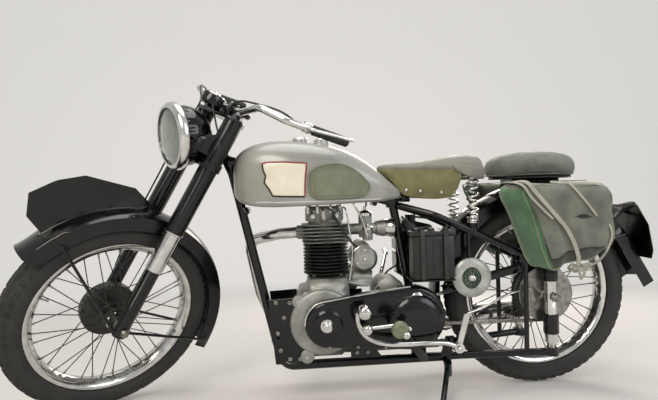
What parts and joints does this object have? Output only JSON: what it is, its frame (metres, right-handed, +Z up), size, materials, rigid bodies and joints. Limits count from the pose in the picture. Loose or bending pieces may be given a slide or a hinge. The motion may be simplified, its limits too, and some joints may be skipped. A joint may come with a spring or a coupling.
{
  "type": "solo motorcycle",
  "caption": "Vintage solo motorcycle with telescopic fork, plunger rear springing, sprung saddle and canvas panniers, leaning on its side stand.",
  "frame": {"origin": "middle of the whole machine seen from above, at the floor", "axes": "+X forward, +Y to the machine's left, +Z up; the machine leans to its left on its side stand"},
  "size_m": [2.1322, 0.6384, 1.1303],
  "materials": {
    "battery_case": "matte",
    "black_enamel": "gloss",
    "black_rubber": "matte",
    "bright_chrome": "polished",
    "canvas": "woven",
    "cast_alloy": "as cast",
    "cast_iron": "as cast",
    "grey_enamel": "satin",
    "knee_rubber": "matte",
    "lens_glass": "clear",
    "pad_leather": "satin",
    "plain_steel": "satin",
    "saddle_leather": "satin",
    "tank_paint": "gloss",
    "tyre_rubber": "matte"
  },
  "bodies": {
    "chassis": {"frame_front": "black_enamel", "frame_rear": "black_enamel", "plungers": "bright_chrome", "rear_axle": "plain_steel", "crankcase": "cast_alloy", "cylinder": "cast_iron", "cylinder_head": "cast_alloy", "magdyno": "cast_alloy", "carburettor": "cast_alloy", "exhaust": "bright_chrome", "gearbox": "cast_alloy", "primary_chaincase": "black_enamel", "drive_chain": "plain_steel", "chain_guard": "black_enamel", "fuel_tank": "tank_paint", "knee_grips": "knee_rubber", "oil_tank": "black_enamel", "battery": "battery_case", "horn": "grey_enamel", "saddle": "saddle_leather", "saddle_springs": "plain_steel", "pillion_pad": "pad_leather", "rear_mudguard": "black_enamel", "rear_number_plate": "black_enamel", "panniers": "canvas", "footrests": "black_rubber", "brake_pedal": "bright_chrome", "kick_starter": "bright_chrome"},
    "fork": {"fork_yokes": "black_enamel", "fork_shrouds": "black_enamel", "fork_sleeves": "bright_chrome", "fork_sliders": "black_enamel", "front_axle": "plain_steel", "headlamp_shell": "black_enamel", "headlamp_rim": "bright_chrome", "headlamp_lens": "lens_glass", "handlebar": "bright_chrome", "handlebar_grips": "black_rubber", "front_mudguard": "black_enamel"},
    "front_wheel": {"front_tyre": "tyre_rubber", "front_rim": "bright_chrome", "front_hub": "plain_steel"},
    "rear_wheel": {"rear_tyre": "tyre_rubber", "rear_rim": "bright_chrome", "rear_hub": "plain_steel"},
    "side_stand": {"side_stand": "black_enamel"}
  },
  "joints": [
    {"name": "steering", "type": "hinge", "parent": "chassis", "child": "fork", "pos_m": [0.41663, 0.05532, 0.85214], "axis": [-0.4942, 0.1059, 0.8629], "range_deg": [-77, 0]},
    {"name": "front_wheel_spin", "type": "hinge", "parent": "fork", "child": "front_wheel", "pos_m": [0.78629, 0.02879, 0.30397], "axis": [-0.5412, 0.7393, -0.4007], "continuous": true},
    {"name": "rear_wheel_spin", "type": "hinge", "parent": "chassis", "child": "rear_wheel", "pos_m": [-0.65139, -0.00935, 0.32544], "axis": [0, 0.9925, -0.1219], "continuous": true},
    {"name": "side_stand_fold", "type": "hinge", "parent": "chassis", "child": "side_stand", "pos_m": [-0.30082, 0.07161, 0.09853], "axis": [0.1553, 0.5559, 0.8166], "range_deg": [0, 85]}
  ]
}
